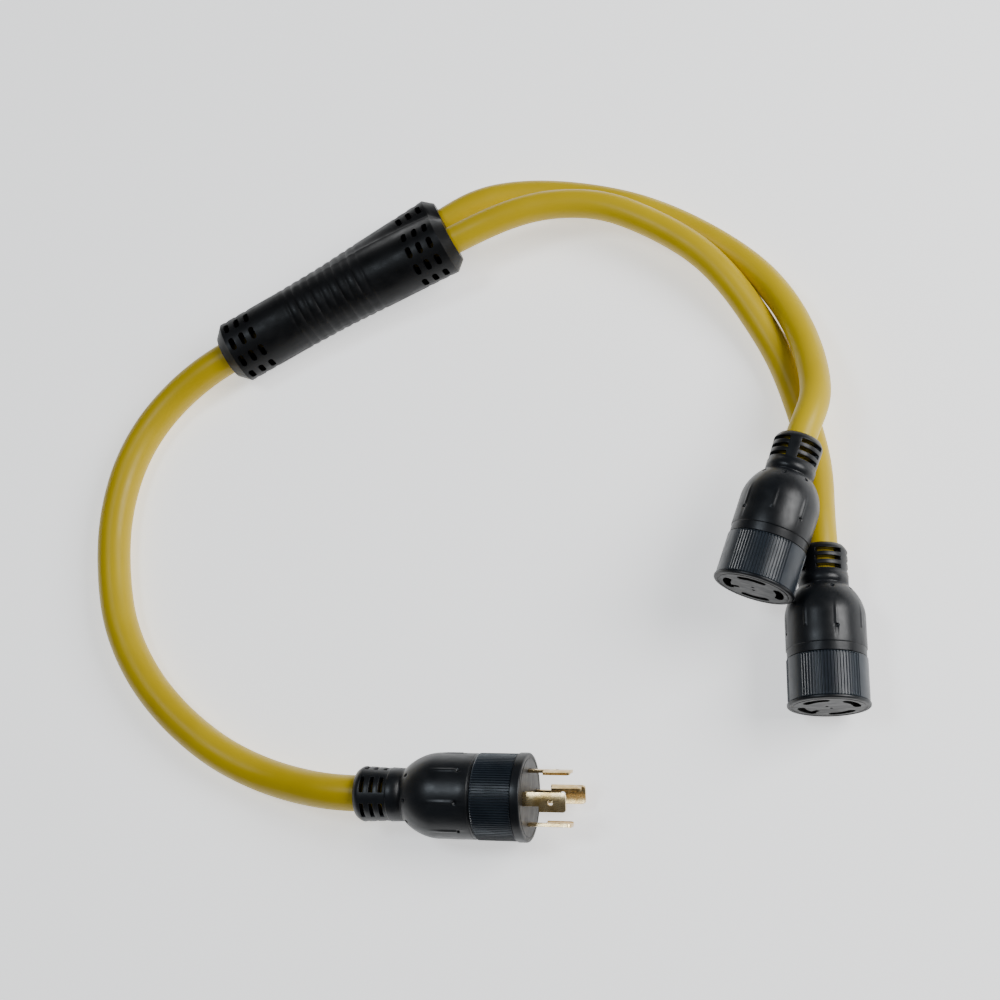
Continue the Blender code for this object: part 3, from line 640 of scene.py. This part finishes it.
def body_stations(h):
    """Heights of the body's rings, close together at steps, slots, pits and rib ends."""
    edges = [s + d for s in h["slot_rows"] for d in (-SLOT_WIDTH / 2, SLOT_WIDTH / 2)]
    seat_end = h["length"] - h["rim"] - GAP
    jumps = [h["slot_rows"][-1] + RING_AFTER_SLOTS, h["neck"] - RING_BEFORE_BELL,
             h["band_start"] - h["step"], h["band_start"], h["rib_to"]]
    jump_rings = [j + d for j in jumps for d in (-0.0001, 0.0001)]
    pits = steps(h["root_pit"] - PIT_R, h["root_pit"] + PIT_R, 6)
    pits += steps(h["rib_to"] + 0.0001, h["rib_to"] + 2 * PIT_R, 6)
    shoulder = steps(h["neck"], h["neck"] + h["reach"], 22)
    ribs = steps(h["rib_from"], h["rib_to"], 8)
    mouth = steps(0, MOUTH_ROUND, 6)
    return merged(edges, jump_rings, pits, shoulder, ribs, mouth, [seat_end])


def make_body(prefix, h, place):
    """The moulded housing: one wall with its flex slots left open."""
    bm = bmesh.new()
    wall(bm, circle_angles(BODY_ANGLES), body_stations(h), body_radius(h), bore_radius(h),
         keep=lambda angle, z: not in_slot(h, angle, z))
    obj = finished(prefix + "_moulded_body", bm, place, [BLUE_SHEEN_BLACK], bevel=0.00022)
    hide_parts(prefix + "_body")
    return obj


def make_collar(prefix, h, place):
    """The ridged band; a connector's ridges stand in arcs with smooth pads between them."""
    low, high = h["band_start"] + GAP, h["length"] - h["rim"] - GAP
    pitch = tau / h["ridges"]
    middle, half, arcs = KNURLS[prefix]

    def ridged(angle):
        off, _ = near(angle - radians(middle), tau / arcs)
        return abs(off) < radians(half) + 0.001

    def radius(angle, z):
        edge = min(z - low, high - z)
        r = h["band_r"] - (BAND_EDGE if edge < BAND_EDGE / 3 else 0.0)
        groove = round(angle / pitch * 4) % 4 > 1
        fade = min(max((edge - BAND_EDGE) / RIDGE_FADE, 0.0), 1.0)
        return r - (h["ridge_depth"] * fade if groove and ridged(angle) else 0.0)

    ends = (0, BAND_EDGE, BAND_EDGE + RIDGE_FADE)
    stations = [low + d for d in ends] + [(low + high) / 2] + [high - d for d in reversed(ends)]
    bm = bmesh.new()
    wall(bm, circle_angles(h["ridges"] * 4), stations, radius, lambda a, z: h["seat_r"] + GAP)
    obj = finished(prefix + "_ridged_collar", bm, place, [SHEEN_TINTED_GRIP], sharp=32)
    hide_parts(prefix + "_grip_collar")
    return obj


# ---------------------------------------------------------------- faces, slots and blades
BLADE_THICK = 0.0015
BLADE_LENGTH = 0.0217
GROUND_LENGTH = 0.0257
BLADE_NECK = 0.008
BLADE_HALF_ANGLE = 20.0
NOTCH_ANGLE = 12.0
GROUND_FLANGE = 0.0040
TAIL_DEPTH = 0.028
BLADE_HOLE_D = 0.0028
BLADE_HOLE_AT = 0.0140
BLADE_ROUNDING = 0.0016
BLADE_PLAY = 0.0002
FACE_SLOT = 0.0040
SLOT_HALF_ANGLE = 23.0
SLOT_SKIN = 0.004
POCKET_R = (0.0112, 0.0156)
POCKET_HALF_ANGLE = 26.0
HOOK_ANGLE = 19.0             # from the ground slot's middle to its inward leg
HOOK_REACH = 0.0056
HOOK_WIDTH = 0.0028
PAST = 0.002                  # how far a cutter reaches past what it cuts
RIM_ROUND = 0.0009
DIMPLES = (-0.0022, 0.0022)   # two small dimples in the middle of a connector's face
KINDS = ("hot_x", "neutral", "hot_y", "ground")


def combine(obj, bm, place, operation):
    """Cut a local mesh out of the object, or join it on, and keep the result."""
    bmesh.ops.recalc_face_normals(bm, faces=bm.faces)
    mesh = bpy.data.meshes.new("tool")
    bm.to_mesh(mesh)
    bm.free()
    mesh.transform(place)
    tool = bpy.data.objects.new("tool", mesh)
    bpy.context.scene.collection.objects.link(tool)
    mod = obj.modifiers.new("combine", "BOOLEAN")
    mod.operation = operation
    mod.solver = "EXACT"
    mod.object = tool
    graph = bpy.context.evaluated_depsgraph_get()
    graph.update()
    result = bpy.data.meshes.new_from_object(obj.evaluated_get(graph))
    obj.modifiers.clear()
    obj.data = result
    bpy.data.objects.remove(tool, do_unlink=True)


def face_profile(h):
    """Carrier outline: face with a shallow ring, rounded rim, flange and boss."""
    top, flange, back = h["length"], h["length"] - h["rim"], h["length"] - CARRIER_DEPTH
    rim = h["rim_r"]
    rounding = [(rim - RIM_ROUND * (1 - cos(a)), top - RIM_ROUND * (1 - sin(a)))
                for a in (pi / 2, pi / 3, pi / 6, 0)]
    groove = [(rim - 0.0030, top), (rim - 0.0027, top - 0.0003), (rim - 0.0022, top - 0.0003),
              (rim - 0.0019, top)]
    return [(0, back), (CARRIER_R, back), (CARRIER_R, flange), (rim, flange)] \
        + rounding[::-1] + groove[::-1] + [(0, top)]


def add_connector_slots(bm, h, angles):
    """The arc slots in a connector's face."""
    for angle in angles:
        outline = arc_outline(PIN_R - FACE_SLOT / 2, PIN_R + FACE_SLOT / 2,
                              angle - SLOT_HALF_ANGLE, angle + SLOT_HALF_ANGLE)
        outline_solid(bm, outline, h["length"] - SLOT_SKIN - PAST, h["length"] + 0.001)


def add_hook_slot(bm, h, angle):
    """The ground slot's inward leg, at the slot's end."""
    radial_bar(bm, radians(angle + HOOK_ANGLE), PIN_R - HOOK_REACH, PIN_R + 0.0004, HOOK_WIDTH,
               h["length"] - SLOT_SKIN - PAST, h["length"] + 0.0012)


def add_pockets(bm, h, angles):
    """Wider chambers behind the arc slots, open at the carrier's back."""
    low, high = h["length"] - CARRIER_DEPTH - PAST, h["length"] - SLOT_SKIN
    for angle in angles:
        outline = arc_outline(*POCKET_R, angle - POCKET_HALF_ANGLE, angle + POCKET_HALF_ANGLE)
        outline_solid(bm, outline, low, high)


def add_blade_slots(bm, h, angles):
    """Close slots that the plug's blades pass through."""
    half = BLADE_THICK / 2 + BLADE_PLAY
    for angle in angles:
        start = angle - BLADE_HALF_ANGLE + 1
        end = angle + BLADE_HALF_ANGLE - NOTCH_ANGLE - 1
        outline = arc_outline(PIN_R - half, PIN_R + half, start, end)
        outline_solid(bm, outline, h["length"] - CARRIER_DEPTH - PAST, h["length"] + 0.001)


def make_face(prefix, h, place, angles, male):
    """The contact carrier, cut for blades (male) or with arc slots over its pockets."""
    obj = finished(prefix + "_contact_carrier", turned_bm(face_profile(h), 96), place,
                   [FACE, BLUE_SHEEN_BLACK])
    rings = [add_blade_slots] if male else [add_pockets, add_connector_slots]
    for add in rings:
        bm = bmesh.new()
        add(bm, h, angles.values())
        combine(obj, bm, place, "DIFFERENCE")
    if not male:
        bm = bmesh.new()
        add_hook_slot(bm, h, angles["ground"])
        combine(obj, bm, place, "DIFFERENCE")
        bm = bmesh.new()
        for x in DIMPLES:
            bmesh.ops.create_cone(bm, cap_ends=True, segments=20, radius1=0.0007, radius2=0.0010,
                                  depth=0.0012, matrix=Matrix.Translation((x, 0, h["length"])))
        combine(obj, bm, place, "DIFFERENCE")
    back = place.inverted()
    for face in obj.data.polygons:
        spot = back @ face.center
        outer = spot.xy.length > h["rim_r"] - 0.0012
        face.material_index = 1 if outer and spot.z < h["length"] - 0.0002 else 0
    obj.data.shade_smooth()
    obj.data.set_sharp_from_angle(angle=radians(35))
    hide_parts(prefix + "_face_insert")
    return obj


def blade_bm(face, tip, start, end):
    """A curved wall on the pin circle: tail, notched neck, wide tip with rounded corners."""
    notch, rounding = end - radians(NOTCH_ANGLE), BLADE_ROUNDING
    angles = [start + (notch - start) * i / 10 for i in range(11)]
    angles += [notch + (end - notch) * i / 6 for i in range(1, 7)]
    stations = [face - TAIL_DEPTH, face - 0.004] + steps(face, face + BLADE_NECK, 3)
    stations += steps(face + BLADE_NECK, tip - rounding, 4)[1:] + steps(tip - rounding, tip, 5)[1:]
    bm = bmesh.new()
    wall(bm, angles, stations, lambda a, z: PIN_R + BLADE_THICK / 2,
         lambda a, z: PIN_R - BLADE_THICK / 2,
         keep=lambda a, z: a < notch or z > face + BLADE_NECK, closed=False)
    middle = angles[8]
    for vert in bm.verts:
        turn = vert.co.xy.angle_signed(Vector((cos(middle), sin(middle))))
        side = min(turn + middle - start, end - turn - middle) * PIN_R
        if vert.co.z > tip - rounding and side < rounding:
            short = rounding - sqrt(max(rounding ** 2 - (rounding - side) ** 2, 0.0))
            vert.co.z -= short * (vert.co.z - tip + rounding) / rounding
    return bm


def drill_blade(obj, place, angle, face):
    """The round hole through a blade, along the radius at its middle."""
    lift = Matrix.Translation(polar(PIN_R, angle, face + BLADE_HOLE_AT))
    drill = lift @ Matrix.Rotation(angle, 4, "Z") @ Matrix.Rotation(pi / 2, 4, "Y")
    bm = bmesh.new()
    bmesh.ops.create_cone(bm, cap_ends=True, segments=28, radius1=BLADE_HOLE_D / 2,
                          radius2=BLADE_HOLE_D / 2, depth=0.006, matrix=drill)
    combine(obj, bm, place, "DIFFERENCE")


def make_blade(prefix, h, place, angle, kind):
    """One brass blade with its hole; the ground blade is longer and has an inward flange."""
    start, end = radians(angle - BLADE_HALF_ANGLE), radians(angle + BLADE_HALF_ANGLE)
    face = h["length"]
    tip = face + (GROUND_LENGTH if kind == "ground" else BLADE_LENGTH)
    obj = finished(f"{prefix}_{kind}_brass_blade", blade_bm(face, tip, start, end), place, [BRASS])
    if kind == "ground":
        bm = bmesh.new()
        radial_bar(bm, end - BLADE_THICK / 2 / PIN_R, PIN_R - GROUND_FLANGE, PIN_R, BLADE_THICK,
                   face + BLADE_NECK + 0.0008, tip - BLADE_ROUNDING)
        combine(obj, bm, place, "UNION")
    drill_blade(obj, place, radians(angle), face)
    obj.data.shade_smooth()
    crisp(obj, 0.00018)
    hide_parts(f"{prefix}_{kind}_blade")
    return obj


def make_fitting(prefix, h, place):
    """One housing with its face; returns its pieces."""
    male = prefix == "plug"
    first = 90.0 if male else 0.0
    angles = {kind: first + 90.0 * index for index, kind in enumerate(KINDS)}
    pieces = [make_body(prefix, h, place), make_collar(prefix, h, place),
              make_face(prefix, h, place, angles, male)]
    if male:
        pieces += [make_blade(prefix, h, place, angle, kind) for kind, angle in angles.items()]
    for piece in pieces:
        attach(piece, prefix)
    return pieces


# ---------------------------------------------------------------- splitter
SPLITTER_ANGLES = 180
CHAMFER = 0.0055
RIB_ZONE = (0.040, 0.098)
RIB_PITCH = 0.0052
RIB_DEPTH = 0.0006
WEB = 0.0030                  # softens the valley between the two output barrels
SLOT_ROWS = (0.0090, 0.0155, 0.0220)
SLOT_ACROSS = 0.0032
SLOT_REACH = 0.42             # slot's length over the barrel's outer radius
SLOT_INNER_REACH = 0.62       # and at its inner end, over the bore's radius
CHAMBER_R = 0.0143
COLUMNS = 10
FIRST_COLUMN = -9.4           # degrees


def branch_offset(s):
    """How far an output barrel axis lies from the middle at distance s."""
    return BRANCH_HALF_GAP * max(0.0, s - BRANCH_START) / (SPLITTER_LENGTH - BRANCH_START)


def splitter_radius(angle, s):
    """Outline of two merging barrels, with chamfered ends and fine ribs round the middle."""
    offset = branch_offset(s)
    r = SPLITTER_IN_R + (SPLITTER_OUT_R - SPLITTER_IN_R) * ease((s - 0.035) / 0.040)
    chord = sqrt(r * r - (offset * sin(angle)) ** 2)
    gap = 2 * abs(offset * cos(angle))
    soft = WEB * min(1.0, offset / 0.006)
    joined = abs(offset * cos(angle)) + chord
    if soft > 1e-6:
        joined += soft * exp(-gap / soft) * 0.69
    low, high = RIB_ZONE
    window = ease((s - low) / 0.006) * ease((high - s) / 0.006)
    joined -= RIB_DEPTH * window * (1 - abs(sin(pi * s / RIB_PITCH)) ** 0.7)
    end = min(s, SPLITTER_LENGTH - s)
    return joined - CHAMFER * max(0.0, 1 - end / CHAMFER)


def stadium(bm, matrix, length, inner, width, depth):
    """A slot cutter with round ends: long across X, thin along Z, shorter at its +Y end."""
    half, r = length / 2 - width / 2, width / 2
    points = [(sx * half + r * cos(a), r * sin(a))
              for sx, base in ((1, -pi / 2), (-1, pi / 2))
              for a in [base + pi * i / 6 for i in range(7)]]
    low = [bm.verts.new(matrix @ Vector((x, -depth / 2, z))) for x, z in points]
    high = [bm.verts.new(matrix @ Vector((x * inner / length, depth / 2, z))) for x, z in points]
    bm.faces.new(low)
    bm.faces.new(reversed(high))
    for i in range(len(points)):
        k = (i + 1) % len(points)
        bm.faces.new((low[i], high[i], high[k], low[k]))


def slot_ring(bm, base, rows, bore, radius, skip=None):
    """Columns of slots through a barrel's wall; skip is the direction left whole."""
    depth = radius + 0.0015 - bore
    length, inner = SLOT_REACH * radius, SLOT_INNER_REACH * bore
    for z in rows:
        for i in range(COLUMNS):
            angle = radians(FIRST_COLUMN) + tau * i / COLUMNS
            if skip is not None and cos(angle - skip) > 0.25:
                continue
            turn = Matrix.Rotation(angle, 4, "Z") @ Matrix.Translation((bore + depth / 2, 0, z))
            stadium(bm, base @ turn @ Matrix.Rotation(pi / 2, 4, "Z"), length, inner, SLOT_ACROSS,
                    depth)


def splitter_bm():
    """The Y's solid outline, before its bores and slots."""
    stations = merged(steps(0, CHAMFER, 3), steps(CHAMFER, RIB_ZONE[0], 14),
                      steps(RIB_ZONE[0], RIB_ZONE[1], 96),
                      steps(RIB_ZONE[1], SPLITTER_LENGTH - CHAMFER, 14),
                      steps(SPLITTER_LENGTH - CHAMFER, SPLITTER_LENGTH, 3))
    bm = bmesh.new()
    angles = circle_angles(SPLITTER_ANGLES)
    rings = [[bm.verts.new(polar(splitter_radius(a, s), a, s)) for a in angles] for s in stations]
    for low, high in zip(rings, rings[1:]):
        for i in range(SPLITTER_ANGLES):
            k = (i + 1) % SPLITTER_ANGLES
            bm.faces.new((low[i], low[k], high[k], high[i]))
    bm.faces.new(reversed(rings[0]))
    bm.faces.new(rings[-1])
    return bm


def bore_splitter(obj, entry, way_out):
    """The input bore, the chamber round the splices, and the two output bores."""
    middle = [(0, -0.01), (entry, -0.01), (entry, 0.031), (CHAMBER_R, 0.031),
              (CHAMBER_R, 0.1165), (0, 0.1165)]
    combine(obj, turned_bm(middle, 64), SPLITTER_AT, "DIFFERENCE")
    for side in (1, -1):
        bore = turned_bm([(0, 0.105), (way_out, 0.105), (way_out, 0.16), (0, 0.16)], 64)
        combine(obj, bore, SPLITTER_AT @ branch_matrix(side), "DIFFERENCE")


def slot_splitter(obj, entry, way_out):
    """Flex slots round the input end and round each output barrel's outer side."""
    bm = bmesh.new()
    slot_ring(bm, Matrix(), SLOT_ROWS, entry - 0.0002, SPLITTER_IN_R)
    combine(obj, bm, SPLITTER_AT, "DIFFERENCE")
    rows = [SPLITTER_LENGTH - z for z in SLOT_ROWS]
    for side in (1, -1):
        bm = bmesh.new()
        slot_ring(bm, branch_matrix(side), rows, way_out - 0.0002, SPLITTER_OUT_R,
                  skip=0 if side < 0 else pi)
        combine(obj, bm, SPLITTER_AT, "DIFFERENCE")


def make_splitter():
    """The moulded Y between the three cords."""
    obj = finished("moulded_splitter", splitter_bm(), SPLITTER_AT, [SPLITTER_BLACK])
    entry, way_out = INPUT_CORD_D / 2 + GAP, OUTPUT_CORD_D / 2 + GAP
    bore_splitter(obj, entry, way_out)
    slot_splitter(obj, entry, way_out)
    obj.data.shade_smooth()
    obj.data.set_sharp_from_angle(angle=radians(38))
    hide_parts("splitter_body")
    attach(obj, "splitter")


# ---------------------------------------------------------------- carried-over pieces and stage
def paint_inner_nodes():
    """Wires, clips, crimps and inner moulds keep their CAD shape and get node materials."""
    slots = {part["node"]: part["material_slot"] for part in frame["record"]["subparts"]}
    for name, node in frame["nodes"].items():
        mat = SLOT_MATERIALS[slots[name]]
        node.data.materials.clear()
        node.data.materials.append(mat)


def make_floor():
    """A plain pale floor, wide enough to fill the view."""
    mesh = bpy.data.meshes.new("floor")
    bm = bmesh.new()
    bmesh.ops.create_grid(bm, x_segments=1, y_segments=1, size=6)
    bm.to_mesh(mesh)
    bm.free()
    floor = bpy.data.objects.new("floor", mesh)
    bpy.context.scene.collection.objects.link(floor)
    mat, _, shader = new_material("floor", (0.95, 0.95, 0.95), 0.9)
    shader.inputs["Emission Color"].default_value = (1, 1, 1, 1)
    shader.inputs["Emission Strength"].default_value = FLOOR_GLOW
    shader.inputs["Specular IOR Level"].default_value = 0.1
    mesh.materials.append(mat)


def make_light(name, at, size, power, colour=(1, 1, 1)):
    """A square soft light aimed at the origin."""
    data = bpy.data.lights.new(name, "AREA")
    data.size = size
    data.energy = power
    data.color = colour
    light = bpy.data.objects.new(name, data)
    light.location = at
    light.rotation_euler = Vector(at).to_track_quat("Z", "Y").to_euler()
    bpy.context.scene.collection.objects.link(light)


def make_world(strength):
    """Even, slightly cool surroundings."""
    world = bpy.data.worlds.new("world")
    world.use_nodes = True
    back = world.node_tree.nodes["Background"]
    back.inputs["Color"].default_value = (0.95, 0.97, 1.0, 1)
    back.inputs["Strength"].default_value = strength
    bpy.context.scene.world = world


make_camera()
CORDS = make_cords()
PIECES = {"plug": make_fitting("plug", PLUG, PLUG_AT),
          "connector_a": make_fitting("connector_a", CONNECTOR, CONNECTOR_A_AT),
          "connector_b": make_fitting("connector_b", CONNECTOR, CONNECTOR_B_AT)}
make_splitter()
declare_cord("input_cord")
declare_cord("output_cord_a")
declare_cord("output_cord_b")
paint_inner_nodes()
make_floor()
make_light("key", **KEY_LIGHT)
make_light("fill", **FILL_LIGHT)
make_world(WORLD_STRENGTH)
